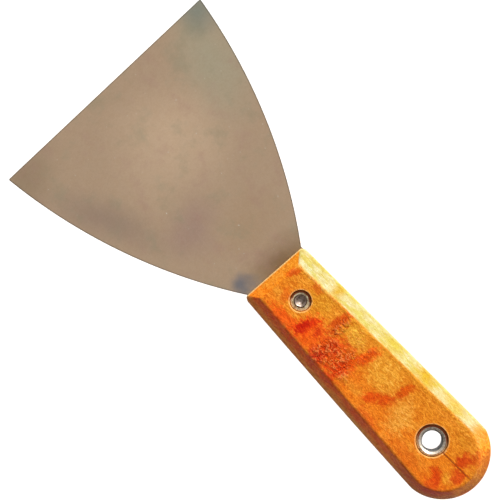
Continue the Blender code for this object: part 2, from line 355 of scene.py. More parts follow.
UPPER_FIGURE = (
    Patch(-10.0, -7.0, 4.2, 11.5, 0, (252, 96, 14), 0.85),
    Patch(-7.0, -28.0, 10.5, 17.0, 0, (244, 112, 22), 0.85),
    Patch(-7.0, -17.5, 9.5, 8.5, -12, (248, 99, 12), 0.85),
    Patch(-5.5, -14.6, 8.0, 4.6, -16, (246, 78, 6), 0.8),
    Patch(-6.7, -14.0, 5.0, 2.9, -14, (206, 22, 0), 0.9),
    Patch(-2.8, -16.0, 4.2, 1.6, -22, (236, 62, 2), 0.8),
    Patch(-4.6, -19.2, 2.6, 1.8, 20, (218, 50, 4), 0.7),
    Patch(-6.5, -26.5, 10.5, 7.5, -8, (232, 82, 12), 0.9),
    Patch(-10.3, -25.6, 3.8, 4.2, 10, (216, 58, 24), 0.8),
    Patch(-4.0, -27.5, 4.6, 4.2, 30, (220, 66, 14), 0.8),
    Patch(4.0, -22.8, 8.8, 2.8, 2, (218, 80, 8), 0.9),
    Patch(-7.2, -35.0, 9.0, 5.0, -5, (236, 68, 8), 0.9),
    Patch(-1.6, -33.4, 5.2, 4.6, 25, (226, 88, 14), 0.75),
    Patch(2.2, -38.8, 9.6, 3.3, -17, (240, 86, 4), 0.9),
    Patch(-6.6, -51.4, 4.2, 4.2, -20, (238, 86, 6), 0.9),
    Patch(-3.0, -55.6, 3.2, 5.6, 38, (228, 80, 2), 0.9),
    Patch(4.6, -58.8, 6.2, 2.9, -20, (222, 84, 0), 0.9),
    Patch(-13.5, -55.0, 4.0, 7.0, 0, (240, 98, 20), 0.6),
    Patch(4.8, 3.2, 5.2, 2.4, -22, (226, 84, 4), 0.85),
    Patch(7.4, -7.5, 2.4, 3.6, 0, (220, 96, 8), 0.7),
    Patch(-3.0, -0.8, 4.2, 2.6, 15, (236, 98, 10), 0.6),
    Patch(-11.8, -76.0, 4.4, 13.0, 0, (232, 110, 14), 0.75),
    Patch(-9.0, -90.3, 3.0, 5.2, -32, (224, 74, 2), 0.95),
    Patch(-12.5, -92.0, 5.0, 5.5, 0, (232, 78, 10), 0.75),
    Patch(2.2, -93.2, 5.8, 3.2, -6, (216, 70, 4), 0.95),
    Patch(-3.4, -96.0, 4.2, 3.8, 20, (222, 68, 8), 0.85),
    Patch(6.5, -95.8, 4.8, 3.2, 10, (220, 88, 12), 0.7),
    # Painted shade: the rear right of the bevel, where it turns away from the key light.
    Patch(9.5, -100.5, 7.0, 4.5, 40, (198, 104, 22), 0.85),
)

GOLDEN_AREAS = (
    Patch(4.6, -12.0, 6.5, 8.0, 0, (230, 156, 34), 0.75),
    Patch(5.4, -30.5, 5.6, 6.0, 0, (244, 178, 52), 0.9),
    Patch(4.0, -48.0, 9.5, 10.0, 0, (246, 171, 50), 0.85),
    Patch(-3.0, -64.0, 10.0, 6.5, 15, (248, 170, 58), 0.85),
    Patch(-8.0, -31.0, 3.6, 2.2, 0, (246, 138, 10), 0.85),
    Patch(-8.2, -38.3, 2.6, 1.6, 0, (250, 170, 80), 0.8),
    Patch(-6.0, -94.0, 3.2, 4.0, 10, (246, 164, 42), 0.9),
    Patch(8.8, -88.0, 3.6, 6.0, 0, (218, 132, 22), 0.7),
    Patch(-4.0, -7.0, 6.5, 7.0, 0, (246, 152, 34), 0.55),
    Patch(-1.0, 7.2, 13.0, 2.4, 0, (240, 152, 42), 0.8),
)

LOWER_FIGURE = (
    Patch(8.0, -12.0, 5.0, 13.0, 0, (248, 96, 14), 0.8),
    Patch(4.6, -19.0, 9.0, 3.4, 18, (226, 58, 6), 0.9),
    Patch(-3.5, -24.5, 7.0, 3.0, -22, (230, 76, 8), 0.85),
    Patch(5.5, -31.0, 6.0, 4.0, 8, (238, 88, 12), 0.8),
    Patch(-4.0, -46.0, 9.0, 3.0, -28, (222, 74, 6), 0.9),
    Patch(2.5, -50.5, 5.5, 2.6, 24, (232, 84, 6), 0.85),
    Patch(9.0, -61.0, 3.2, 8.0, -8, (236, 96, 14), 0.75),
    Patch(-8.5, -70.0, 6.5, 2.6, 34, (226, 80, 6), 0.85),
    Patch(6.5, -90.5, 3.2, 6.0, 28, (224, 74, 4), 0.9),
    Patch(-5.0, -95.5, 6.0, 3.0, -12, (220, 72, 6), 0.9),
)

LOWER_GOLD = (
    Patch(-6.0, -28.0, 7.0, 9.0, 0, (226, 150, 34), 0.7),
    Patch(2.0, -80.0, 8.0, 10.0, 0, (224, 146, 32), 0.6),
)

WORN_PALE = (
    Patch(9.6, 0.5, 2.2, 5.0, -3, (204, 170, 84), 0.85),
    Patch(9.4, -8.5, 1.6, 3.0, 0, (204, 166, 78), 0.7),
)

# Patches of the right flank's painted highlight, pale yellow where the key light falls on it.
FLANK_HIGHLIGHT_YELLOW = (
    Patch(12.5, -13.5, 6.0, 4.5, 0, (176, 140, 22), 0.9),
    Patch(13.5, -43.0, 6.0, 8.0, 0, (177, 158, 44), 0.75),
    Patch(14.5, -60.0, 6.0, 9.0, 0, (177, 143, 16), 0.95),
    Patch(15.0, -75.0, 6.0, 8.5, 0, (182, 152, 56), 0.75),
    Patch(14.5, -90.0, 6.0, 7.0, 0, (182, 130, 34), 0.8),
)

# Soft patches on the blade: painted reflection, lighter in the middle and darker towards the
# corners, and painted shade at the heel by the handle.
BLADE_REFLECTION_AND_SHADE = (
    Patch(6.0, 72.0, 36.0, 30.0, 0, (224, 194, 162), 0.9),
    Patch(38.0, 84.0, 20.0, 34.0, -14, (192, 181, 153), 0.9),
    Patch(48.0, 103.0, 13.0, 16.0, -30, (155, 158, 143), 0.95),
    Patch(-45.0, 100.0, 22.0, 16.0, 30, (170, 147, 119), 0.75),
    Patch(-33.0, 66.0, 12.0, 36.0, 25, (173, 149, 130), 0.8),
    Patch(-12.0, 42.0, 18.0, 12.0, 20, (183, 152, 138), 0.7),
    Patch(6.0, 28.0, 22.0, 20.0, 0, (194, 164, 132), 0.75),
    Patch(4.0, 9.0, 21.0, 11.0, 0, (145, 115, 81), 0.95),
    Patch(-12.5, 11.5, 8.0, 6.5, -10, (132, 130, 134), 0.95),
)


def paint_face(graph, ragged, broad, figure, gold, upper):
    """Paint the figure: redder on the left, golden-brown on the right, olive at the right border."""
    fringe = graph.texture((1.0, 0.6, 1.0), detail=5.0, roughness=0.65)
    fray = graph.times(graph.minus(fringe, 0.5), 1.7)
    graph.paint(graph.spread(graph.x, -14.0, 10.0), (234, 142, 28))
    graph.paint(graph.spread(broad, 0.42, 0.68), (244, 154, 40))
    graph.blotch(ragged, gold, 0.3, fray)
    to_border = graph.plus(graph.x, graph.times(graph.y, RIGHT_BORDER_SLOPE))
    margin = graph.spread(to_border, RIGHT_BORDER_X - 2.6, RIGHT_BORDER_X - 0.2, 0.0, 0.55)
    graph.paint(graph.times(margin, graph.spread(graph.y, 4.0, -1.0)), (204, 134, 18))
    graph.blotch(ragged, figure, 0.35, fray)
    if upper:
        graph.blotch(ragged, WORN_PALE, 0.4, fray)


def paint_right_flank_highlight(graph, ragged, bevel):
    """Paint the right flank pale yellow, a painted highlight of the key light on the flank that
    faces it, and return where it lies.
    """
    beyond = graph.minus(graph.x, graph.times(graph.y, RIGHT_CORNER_SLOPE))
    right = graph.times(bevel, graph.spread(graph.x, 3.0, 7.5),
                        graph.spread(beyond, RIGHT_CORNER_X, RIGHT_CORNER_X + CORNER_BLUR),
                        graph.spread(graph.y, -96.0, -85.0, 0.0, 0.92))
    drift = graph.texture((0.4, 0.15, 0.4), shift=(5.0, 2.0, 0.0), detail=4.0)
    face = graph.colour
    graph.colour = srgb((175, 166, 84))
    graph.paint(graph.spread(drift, 0.36, 0.60), (184, 180, 130))
    graph.blotch(ragged, FLANK_HIGHLIGHT_YELLOW, 0.0)
    graph.colour = graph.mix(right, face, graph.colour)
    return right


def paint_left_flank_shade(graph, broad, bevel):
    """Paint shade on the left flank, which faces away from the key light, most of all low down and
    to the rear, and on the bevel's rear end.
    """
    beyond = graph.plus(graph.x, graph.times(graph.y, LEFT_CORNER_SLOPE))
    left = graph.times(bevel, graph.spread(graph.x, -7.0, -10.5, 0.0, 0.9),
                       graph.spread(beyond, LEFT_CORNER_X, LEFT_CORNER_X - CORNER_BLUR))
    foot = THICKNESS - BEVEL_HEIGHT
    height = graph.plus(graph.spread(graph.z, foot, THICKNESS - 0.8),
                        graph.times(graph.minus(broad, 0.5), 1.6))
    shade_tone = graph.mix(graph.spread(height, 0.15, 0.85), (0.74, 0.90, 2.2, 1.0),
                      (0.78, 0.42, 0.5, 1.0))
    graph.colour = graph.mix(left, graph.colour, shade_tone, "MULTIPLY")
    # Painted shadow: a dark line along the foot of the left flank.
    low = graph.spread(graph.z, foot - 0.1, foot + 0.8, 0.6, 0.0)
    graph.paint(graph.times(left, low), (84, 58, 46))
    # Painted shade, deeper towards the rear of the left flank and on the bevel's rear end.
    aft = graph.times(left, graph.spread(graph.y, -68.0, -84.0, 0.0, 0.8))
    graph.tone(aft, PLAIN, (0.60, 0.46, 0.32))
    tail = graph.times(bevel, graph.spread(graph.y, -99.0, -104.0),
                       graph.spread(graph.x, 9.0, 3.0, 0.2, 1.0))
    graph.tone(tail, PLAIN, (0.70, 0.58, 0.68))


def paint_grain(graph, highlit_flank):
    """Paint waves in two crossing directions, soft grain and short pores. Return their bump."""
    even = graph.colour
    waves = graph.texture((1.05, 0.42, 1.05), turn=27.0, detail=3.0, roughness=0.55,
                          distortion=1.2)
    cross = graph.texture((1.15, 0.46, 1.15), turn=-31.0, detail=3.0, roughness=0.55,
                          distortion=1.0)
    grain = graph.texture((1.5, 0.85, 1.5), detail=4.0, roughness=0.55, distortion=1.2)
    pores = graph.texture((3.2, 0.9, 3.2), roughness=0.5, distortion=0.4)
    pores = graph.spread(pores, 0.60, 0.72)
    graph.tone(graph.spread(waves, 0.38, 0.62), (0.86, 0.70, 0.5), (1.05, 1.12, 1.4))
    graph.tone(graph.spread(cross, 0.52, 0.68), PLAIN, (1.10, 1.24, 1.9))
    graph.tone(graph.spread(grain, 0.36, 0.64), (0.88, 0.78, 0.6), (1.06, 1.12, 1.3))
    graph.paint(pores, (168, 70, 8), 0.35)
    # Where the painted flank highlight lies, the marks fade back towards the even colour.
    if highlit_flank is not None:
        graph.colour = graph.mix(graph.times(highlit_flank, 0.6), graph.colour, even)
    normal = graph.bump(waves, 0.16)
    return graph.bump(graph.minus(grain, graph.times(pores, 0.3)), 0.15, normal)


def paint_crinkles(graph, normal):
    """Paint crinkled lacquer, with painted shade, dark red, in its valleys and a painted highlight,
    pinkish, on its crests. Return its bump.
    """
    crinkle = graph.attribute("crinkle")
    ripple = graph.texture((1.15, 0.7, 1.15), turn=-40.0, detail=3.0, roughness=0.55,
                           distortion=1.2)
    folds = graph.plus(graph.times(graph.attribute("relief"), 0.5), ripple)
    # Painted shade in the valleys, painted highlight on the crests.
    graph.paint(graph.times(crinkle, graph.spread(folds, 0.62, 0.44)), (204, 48, 8), 0.7)
    graph.paint(graph.times(crinkle, graph.spread(folds, 0.74, 0.94)), (255, 144, 74), 0.8)
    return graph.bump(graph.times(crinkle, ripple), 1.1, normal)


def paint_wear(graph, scuffs):
    """Paint lacquer worn thin along the edges; a pale front edge, bare wood with a painted
    highlight; pale recess rims, worn lacquer with a painted highlight; and the recesses' walls in
    painted light and painted shade.
    """
    worn = graph.times(graph.attribute("wear_and_rim_shade"), graph.spread(scuffs, 0.36, 0.60))
    graph.paint(worn, (250, 204, 120), 0.7)
    to_front = graph.plus(graph.y, graph.times(graph.x, FRONT_SLOPE))
    # Bare wood and a painted highlight along the front edge.
    bare_and_highlit_edge = graph.spread(to_front, FRONT_REACH - 0.55, FRONT_REACH - 0.2, 0.0, 0.8)
    graph.paint(bare_and_highlit_edge, (255, 214, 146))
    for seat in (RIVET_SEAT, EYELET_SEAT):
        radius = seat.recess / 2
        # Worn lacquer and a painted highlight round the recess rim.
        rim = graph.ring(seat.at, radius, radius + 0.3, 0.35)
        graph.paint(graph.times(rim, graph.spread(scuffs, 0.30, 0.58)), (255, 192, 120), 0.75)
        # The recess wall in lit and shaded copies: painted shade on the side towards the light,
        # painted light on the far side.
        shaded = graph.spread(graph.facing(seat.at, SHADE_AZIMUTH), -0.45, 0.35)
        wall = graph.mix(shaded, srgb((232, 166, 84)), srgb((168, 78, 12)))
        inside = graph.ring(seat.at, 0.0, radius + 0.06, 0.12)
        graph.colour = graph.mix(graph.times(inside, 0.9), graph.colour, wall)


def paint_crack(graph):
    """Paint a dark line along the drying crack: the crack's own dark wood and painted shade inside
    its groove.
    """
    along = (CRACK_END - CRACK_START).normalized()
    offset = graph.offset(CRACK_START)
    aside = graph.vector("DOT_PRODUCT", offset, (-along.y, along.x, 0.0))
    ahead = graph.vector("DOT_PRODUCT", offset, (along.x, along.y, 0.0))
    wander = graph.texture((0.0, 0.5, 0.0))
    aside = graph.plus(aside, graph.times(graph.minus(wander, 0.5), 0.5))
    line = graph.times(graph.spread(graph.math("ABSOLUTE", aside), 0.45, 0.10),
                       graph.spread(ahead, CRACK_LENGTH + 0.6, CRACK_LENGTH - 1.5),
                       graph.spread(ahead, -0.5, 0.0))
    # Dark wood and painted shade in the crack.
    graph.paint(line, (158, 56, 2), 0.75)


def wood(name, figure, gold, upper):
    """Orange-lacquered figured hardwood. The upper scale has a crack and a painted highlight on its
    right flank.
    """
    graph = Graph(name, (246, 130, 21))
    ragged = graph.warped(((0.13, 2.2), (0.5, 1.1), (1.4, 0.5)))
    broad = graph.texture((0.14, 0.06, 0.14), detail=3.0)
    fine = graph.texture((2.8, 1.8, 2.8), detail=4.0, roughness=0.65, distortion=0.6)
    scuffs = graph.texture((0.9, 0.9, 0.9), detail=4.0, roughness=0.6)
    bevel = graph.attribute("bevel")
    paint_face(graph, ragged, broad, figure, gold, upper)
    highlit_flank = paint_right_flank_highlight(graph, ragged, bevel) if upper else None
    paint_left_flank_shade(graph, broad, bevel)
    normal = graph.bump(fine, 0.06, paint_grain(graph, highlit_flank))
    normal = paint_crinkles(graph, normal)
    paint_wear(graph, scuffs)
    if upper:
        paint_crack(graph)
    return graph.finish({"Roughness": graph.spread(scuffs, 0.25, 0.75, 0.34, 0.52),
                         "Normal": normal, "Specular IOR Level": 0.12,
                         "Coat Weight": 0.06, "Coat Roughness": 0.3})


def blade_steel():
    """Ground spring steel, tarnished to a mottled brown-grey, with a painted reflection and painted
    shade over it.
    """
    graph = Graph("blade_steel", (200, 172, 143))
    # Painted reflection and painted shade, laid on as soft patches.
    graph.blotch(graph.warped(((0.05, 6.0), (0.25, 1.5))), BLADE_REFLECTION_AND_SHADE, 0.0)
    tint = graph.texture((0.09, 0.09, 0.09), detail=4.0, roughness=0.6)
    graph.paint(graph.spread(tint, 0.30, 0.48, 0.30, 0.0), (160, 158, 130))
    graph.paint(graph.spread(tint, 0.52, 0.72, 0.0, 0.30), (188, 148, 134))
    mottle = graph.texture((0.45, 0.45, 0.45), detail=6.0, roughness=0.7)
    graph.tone(graph.spread(mottle, 0.3, 0.7), (0.90, 0.88, 0.86), (1.09, 1.09, 1.10))

    # Grinding lines along the blade, bright specks, and a painted shade line along its rim.
    lines = graph.texture((7.0, 0.12, 7.0), detail=4.0, roughness=0.7)
    graph.tone(graph.spread(lines, 0.35, 0.65), (0.95, 0.95, 0.95), PLAIN)
    specks = graph.texture((0.9, 0.9, 0.9), detail=1.0)
    graph.paint(graph.spread(specks, 0.775, 0.80, 0.0, 0.8), (236, 226, 210))
    graph.paint(graph.attribute("wear_and_rim_shade"), (74, 66, 56), 0.75)
    rough = graph.plus(graph.spread(mottle, 0.25, 0.75, 0.33, 0.42),
                       graph.spread(lines, 0.3, 0.7, 0.0, 0.05))
    normal = graph.bump(mottle, 0.03, graph.bump(lines, 0.012))
    return graph.finish({"Roughness": rough, "Normal": normal, "Metallic": 0.92})


def fastener_metal(name, clean, tarnish, dullness, centre, shade_rings):
    """Plated steel of a rivet, eyelet or washer, dulled in places, with rings of painted shade."""
    graph = Graph(name, clean)
    spots = graph.texture((1.1, 1.1, 1.1), detail=5.0, roughness=0.65)
    streaks = graph.texture((2.6, 2.6, 0.8), detail=3.0)
    graph.paint(graph.spread(spots, 0.38, 0.66), tarnish)
    graph.paint(graph.spread(streaks, 0.55, 0.75, 0.0, 0.35), (120, 100, 82))
    metallic = 0.7
    # Painted shade in the gaps and throats, and where a recess wall shades the metal.
    for shade_ring in shade_rings:
        mask = graph.ring(centre, shade_ring.inner, shade_ring.outer, 0.15)
        if shade_ring.shaded_side_only:
            side = graph.facing(centre, SHADE_AZIMUTH)
            mask = graph.times(mask, graph.spread(side, -0.35, 0.30))
        mask = graph.times(mask, shade_ring.strength)
        graph.paint(mask, shade_ring.colour)
        metallic = graph.math("SUBTRACT", metallic, mask, clamp=True)
    rough = graph.spread(spots, 0.3, 0.7, dullness - 0.1, dullness + 0.1)
    normal = graph.bump(spots, 0.03, graph.bump(streaks, 0.05))
    return graph.finish({"Roughness": rough, "Normal": normal, "Metallic": metallic,
                         "Specular IOR Level": 0.25})


def floor_paint():
    """A matt, very pale studio floor."""
    graph = Graph("floor_paint", (238, 238, 238))
    graph.paint(graph.texture((0.01, 0.01, 0.01), detail=3.0), (244, 244, 244))
    fine = graph.texture((0.8, 0.8, 0.8))
    return graph.finish({"Roughness": graph.spread(fine, 0, 1, 0.85, 0.95),
                         "Normal": graph.bump(fine, 0.02), "Specular IOR Level": 0.1})


# =============================================================== shared mesh work

def add_object(name, data):
    """Link a new object to the scene."""
    made = bpy.data.objects.new(name, data)
    bpy.context.scene.collection.objects.link(made)
    return made


def mesh_object(name, mesh_data):
    """Link a finished bmesh as an object, its faces pointing out."""
    bmesh.ops.recalc_face_normals(mesh_data, faces=mesh_data.faces)
    mesh = bpy.data.meshes.new(name)
    mesh_data.to_mesh(mesh)
    mesh_data.free()
    return add_object(name, mesh)


def finish_piece(piece, node, crease):
    """Shade a piece smooth, crisp where it bends by more than crease degrees, and bind it."""
    piece.data.shade_smooth()
    piece.data.set_sharp_from_angle(angle=math.radians(crease))
    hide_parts(node)
    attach(piece, "root")
    return piece


def join_rings(mesh, rings):
    """Fill the strips between closed rings of equally many points."""
    for near, far in zip(rings, rings[1:]):
        for i in range(len(near)):
            j = (i + 1) % len(near)
            mesh.faces.new((near[i], near[j], far[j], far[i]))


def lathe(profile, at, closed):
    """Turn a profile of (radius, z) points about the vertical axis through at."""
    turned = bmesh.new()
    points = [turned.verts.new(Vector((radius, 0.0, z)) * MM) for radius, z in profile]
    edges = [turned.edges.new(pair) for pair in zip(points, points[1:])]
    if closed:
        edges.append(turned.edges.new((points[-1], points[0])))
    bmesh.ops.spin(turned, geom=points + edges, cent=(0, 0, 0), axis=(0, 0, 1),
                   angle=math.tau, steps=TURN_STEPS, use_merge=True)
    bmesh.ops.remove_doubles(turned, verts=turned.verts, dist=1e-7)
    bmesh.ops.translate(turned, verts=turned.verts, vec=Vector((at.x, at.y, 0.0)) * MM)
    return turned


def carve(piece, cutter_mesh):
    """Cut a piece with a closed bmesh and keep only the result."""
    cutter = mesh_object("cutter", cutter_mesh)
    modifier = piece.modifiers.new("cut", "BOOLEAN")
    modifier.operation = "DIFFERENCE"
    modifier.solver = "EXACT"
    modifier.object = cutter
    depsgraph = bpy.context.evaluated_depsgraph_get()
    carved = bpy.data.meshes.new_from_object(piece.evaluated_get(depsgraph))
    piece.modifiers.clear()
    piece.data = carved
    bpy.data.objects.remove(cutter, do_unlink=True)


def arc(centre, radius, start, end, steps):
    """Return points of a circular arc, angles in degrees, for a lathe profile."""
    points = []
    for step in range(steps + 1):
        angle = math.radians(start + (end - start) * step / steps)
        points.append((centre[0] + radius * math.cos(angle), centre[1] + radius * math.sin(angle)))
    return points


# =============================================================== wooden scales

def side_start(outline, side):
    """Return the point behind a front corner where a side of the handle begins."""
    front = outline.front_left if side is outline.left else outline.front_right
    return Vector((side.x_front, front[1] - outline.drop))


def side_x(outline, side, y, inset=0.0):
    """Return x on one side of the handle at a given y: a nearly straight run, then the end arc."""
    centre_x, centre_y = outline.end_centre
    front_y = side_start(outline, side).y
    share = clamped((front_y - y) / (front_y - centre_y))
    outward = math.copysign(1.0, side.x_front)
    run = side.x_front + (side.x_rear - side.x_front) * share
    run += outward * side.bulge * 4 * share * (1 - share)
    run -= outward * inset
    if y >= centre_y:
        return run
    reach = math.sqrt(max((outline.end_radius - inset) ** 2 - (y - centre_y) ** 2, 0.0))
    return outward * min(outward * run, outward * (centre_x + outward * reach))


def half_outline(outline, side):
    """Return the points from the middle of the front edge round one side to the rear end."""
    corner = Vector(outline.front_left if side is outline.left else outline.front_right)
    middle = (Vector(outline.front_left) + Vector(outline.front_right)) / 2
    start = side_start(outline, side)
    elbow = corner.lerp(Vector((start.x, corner.y)), CORNER_FULLNESS)
    centre_y = outline.end_centre[1]
    points = [middle.lerp(corner, step / FRONT_STEPS) for step in range(FRONT_STEPS)]
    for step in range(CORNER_STEPS):
        t = step / CORNER_STEPS
        points.append(corner.lerp(elbow, t).lerp(elbow.lerp(start, t), t))
    for step in range(SIDE_STEPS):
        y = start.y + (centre_y - start.y) * step / SIDE_STEPS
        points.append(Vector((side_x(outline, side, y), y)))
    for step in range(END_STEPS + 1):
        y = centre_y - outline.end_radius * math.sin(math.pi / 2 * step / END_STEPS)
        points.append(Vector((side_x(outline, side, y), y)))
    return points


def whole_outline(outline):
    """Return the closed outline: down the right side to the rear end and back up the left."""
    return half_outline(outline, outline.right) + half_outline(outline, outline.left)[-2:0:-1]


def spine_points():
    """Return, for each point of the outline, the point of the face's spine that it runs to."""
    top = Vector((SPINE_X, FACE_OUTLINE.front_left[1] - SPINE_INSET))
    bottom = Vector(FACE_OUTLINE.end_centre)
    half = [top] * (FRONT_STEPS + CORNER_STEPS)
    half += [top.lerp(bottom, step / SIDE_STEPS) for step in range(SIDE_STEPS)]
    half += [bottom] * (END_STEPS + 1)
    return half + half[-2:0:-1]


def soft_corner(before, corner, after, radius):
    """Return the points of a rounded corner between two straight runs."""
    begin = corner + (before - corner).normalized() * radius
    finish = corner + (after - corner).normalized() * radius
    points = []
    for step in range(ROUND_STEPS + 1):
        t = step / ROUND_STEPS
        points.append(begin.lerp(corner, t).lerp(corner.lerp(finish, t), t))
    return points


def between(first, last, steps):
    """Return the points strictly between two points."""
    return [first.lerp(last, step / steps) for step in range(1, steps)]


def varied(radius, place, seed):
    """Return a rounding radius that drifts along the edge, as hand sanding leaves it."""
    drift = noise_at(place.x * 0.11, place.y * 0.11, seed)
    return radius * (1 + ROUND_VARIATION * drift)


def section(full, face, spine, upward, seed):
    """Return one section of a scale, from the inner face's rim out and up to the face's spine."""
    inner_z = MID_Z + upward * (TANG_HALF + FIT_GAP)
    outer_z = MID_Z + upward * MID_Z
    shoulder_z = outer_z - upward * BEVEL_HEIGHT
    inner = Vector((full.x, full.y, inner_z))
    shoulder = Vector((full.x, full.y, shoulder_z))
    crown = Vector((face.x, face.y, outer_z))
    heart = Vector((spine.x, spine.y, outer_z))
    inside = Vector((spine.x, spine.y, inner_z))
    foot = soft_corner(inside, inner, shoulder, INNER_ROUND)
    knee = soft_corner(inner, shoulder, crown, varied(SHOULDER_ROUND, full, seed))
    brow = soft_corner(shoulder, crown, heart, varied(FACE_ROUND, full, seed + 5))
    points = foot + between(foot[-1], knee[0], WALL_STEPS) + knee
    points += between(knee[-1], brow[0], BEVEL_STEPS) + brow
    points += between(brow[-1], heart, FACE_RINGS)
    return points, inside, heart, (inner, shoulder, crown)


CRINKLES = (
    Patch(-6.5, -26.5, 8.5, 6.0, -8, None, 1.0),
    Patch(3.6, -23.6, 7.5, 2.4, 2, None, 0.85),
    Patch(-4.5, -33.5, 8.5, 5.0, 10, None, 0.95),
    Patch(2.5, -38.2, 6.5, 2.2, -15, None, 0.5),
    Patch(-8.0, -38.0, 3.5, 2.5, 0, None, 0.6),
    Patch(5.0, -31.0, 5.5, 5.0, 0, None, 0.35),
)


def crinkle_at(x, y):
    """Return how crinkled the upper face is at a place, 0 to 1."""
    push = noise.noise_vector(Vector((x * 0.25, y * 0.25, 3.0))) * 1.8
    strongest = 0.0
    for patch in CRINKLES:
        turn = math.radians(patch.turn)
        dx = x + push.x - patch.x
        dy = y + push.y - patch.y
        along = (dx * math.cos(turn) + dy * math.sin(turn)) / patch.reach_x
        across = (dy * math.cos(turn) - dx * math.sin(turn)) / patch.reach_y
        nearness = clamped((1.0 - math.hypot(along, across)) / 0.6)
        strongest = max(strongest, patch.strength * nearness * nearness * (3 - 2 * nearness))
    return strongest


def relief_at(x, y):
    """Return the height of the crinkles at a place, 0 in the valleys to 1 on the crests."""
    place = Vector((x * 0.5 + y * 0.2, y * 0.62 - x * 0.12, 0.0))
    place += noise.noise_vector(place * 0.7) * 0.7
    ridges = 1.0 - 1.7 * abs(noise.noise(place)) - 0.9 * abs(noise.noise(place * 2.1))
    return clamped(ridges)


def sanding_at(place, seed):
    """Return how much the surface lies below the ideal shape, 0 to 1."""
    return 0.5 + 0.5 * noise_at(place.x * 0.09, place.y * 0.07, place.z * 0.1 + seed)


def wear_at(vert, shoulder, crown, full_point):
    """Return how worn the lacquer is at a point, from its distance to the two long edges."""
    front_share = clamped((full_point.y - 7.0) / 1.5)
    right_share = clamped(full_point.x / 8.0)
    fore_share = clamped((full_point.y + 16.0) / 8.0)
    shoulder_share = max(0.25, front_share, 0.5 * right_share)
    crown_share = (0.12 + 0.6 * right_share * fore_share) * (1.0 - front_share)
    by_shoulder = shoulder_share * (1.0 - (vert.co - shoulder).length / WEAR_REACH)
    by_crown = crown_share * (1.0 - (vert.co - crown).length / (WEAR_REACH * 1.3))
    return max(0.0, by_shoulder, by_crown)


def bevel_at(vert, upward):
    """Return 1 on the sloping flank of a scale and 0 on its outer face and its wall."""
    below_face = (MID_Z + upward * MID_Z - vert.co.z) * upward
    return clamped((below_face - 0.05) / 0.35)


def scale_mesh(upward, seed):
    """Build one scale as rings of points that run from the inner face to the outer face."""
    full = whole_outline(FULL_OUTLINE)
    face = whole_outline(FACE_OUTLINE)
    spine = spine_points()
    mesh = bmesh.new()
    wear_and_rim_shade, crinkle, relief, bevel = [mesh.verts.layers.float.new(name) for name in
                                    ("wear_and_rim_shade", "crinkle", "relief", "bevel")]
    columns = []
    inner_ends = {}
    outer_ends = {}
    for outer_point, face_point, spine_point in zip(full, face, spine):
        points, inside, heart, corners = section(outer_point, face_point, spine_point,
                                                 upward, seed)
        key = (round(spine_point.x, 4), round(spine_point.y, 4))
        if key not in inner_ends:
            inner_ends[key] = mesh.verts.new(inside)
            outer_ends[key] = mesh.verts.new(heart)
        inner_run = between(inside, points[0], INNER_RINGS)
        column = [mesh.verts.new(point) for point in inner_run + points]
        for vert in column:
            vert[wear_and_rim_shade] = wear_at(vert, corners[1], corners[2], outer_point)
            vert[bevel] = bevel_at(vert, upward)
        columns.append([inner_ends[key]] + column + [outer_ends[key]])
    for here, there in zip(columns, columns[1:] + columns[:1]):
        for level in range(len(here) - 1):
            corners = [here[level], there[level], there[level + 1], here[level + 1]]
            unique = list(dict.fromkeys(corners))
            if len(unique) > 2:
                mesh.faces.new(unique)
    bmesh.ops.recalc_face_normals(mesh, faces=mesh.faces)
    mesh.normal_update()
    inner_z = MID_Z + upward * (TANG_HALF + FIT_GAP)
    for vert in mesh.verts:
        if abs(vert.co.z - inner_z) < INNER_ROUND + 0.01:
            continue
        depth = SANDING_DEPTH * sanding_at(vert.co, seed)
        if upward > 0 and vert.normal.z > 0.5:
            vert[crinkle] = crinkle_at(vert.co.x, vert.co.y)
            vert[relief] = relief_at(vert.co.x, vert.co.y)
            depth += CRINKLE_DEPTH * vert[crinkle] * (1 - vert[relief])
        vert.co -= vert.normal * depth
    bmesh.ops.scale(mesh, vec=(MM, MM, MM), verts=mesh.verts)
    return mesh


def recess_cutter(seat, upward):
    """Return a stepped cutter: the bore, and a flat recess with a softened rim."""
    outer = MID_Z + upward * MID_Z
    floor = outer - upward * seat.depth
    bore = seat.shank / 2 + FIT_GAP
    wall = seat.recess / 2
    clear = wall + RECESS_RIM + 0.25
    profile = [(0.0, MID_Z - upward), (bore, MID_Z - upward), (bore, floor),
               (wall - 0.12, floor), (wall, floor + upward * 0.12)]
    for step in range(7):
        angle = math.radians(90 * step / 6)
        out = wall + RECESS_RIM * (1 - math.cos(angle))
        profile.append((out, outer - upward * RECESS_RIM * (1 - math.sin(angle))))
    profile += [(clear, outer + upward * 0.12), (clear, outer + upward), (0.0, outer + upward)]
    return lathe(profile, seat.at, False)


def crack_cutter():
    """Return a thin, slightly wandering wedge that opens a drying crack in the upper scale."""
    wedge = bmesh.new()
    rows = []
    for step in range(CRACK_STEPS + 1):
        share = step / CRACK_STEPS
        place = CRACK_START.lerp(CRACK_END, share)
        place.x += 0.12 * noise_at(share * 4.0, 7.0, 0.0)
        thinning = 0.9 + 0.4 * noise_at(share * 14, 1.0, 0.0)
        width = 0.09 * (1.0 - 0.75 * share ** 3) * thinning
        depth = 0.4 * (1.0 - 0.4 * share)
        surface = THICKNESS - REAR_BEVEL_SLOPE * max(0.0, REAR_BEVEL_Y - place.y)
        row = ((-1.6, 0.9), (-1.0, 0.02), (0.0, -depth), (1.0, 0.02), (1.6, 0.9))
        rows.append([wedge.verts.new(Vector((place.x + aside * width, place.y, surface + up)) * MM)
                     for aside, up in row])
    join_rings(wedge, rows)
    wedge.faces.new(rows[0])
    wedge.faces.new(rows[-1])
    return wedge


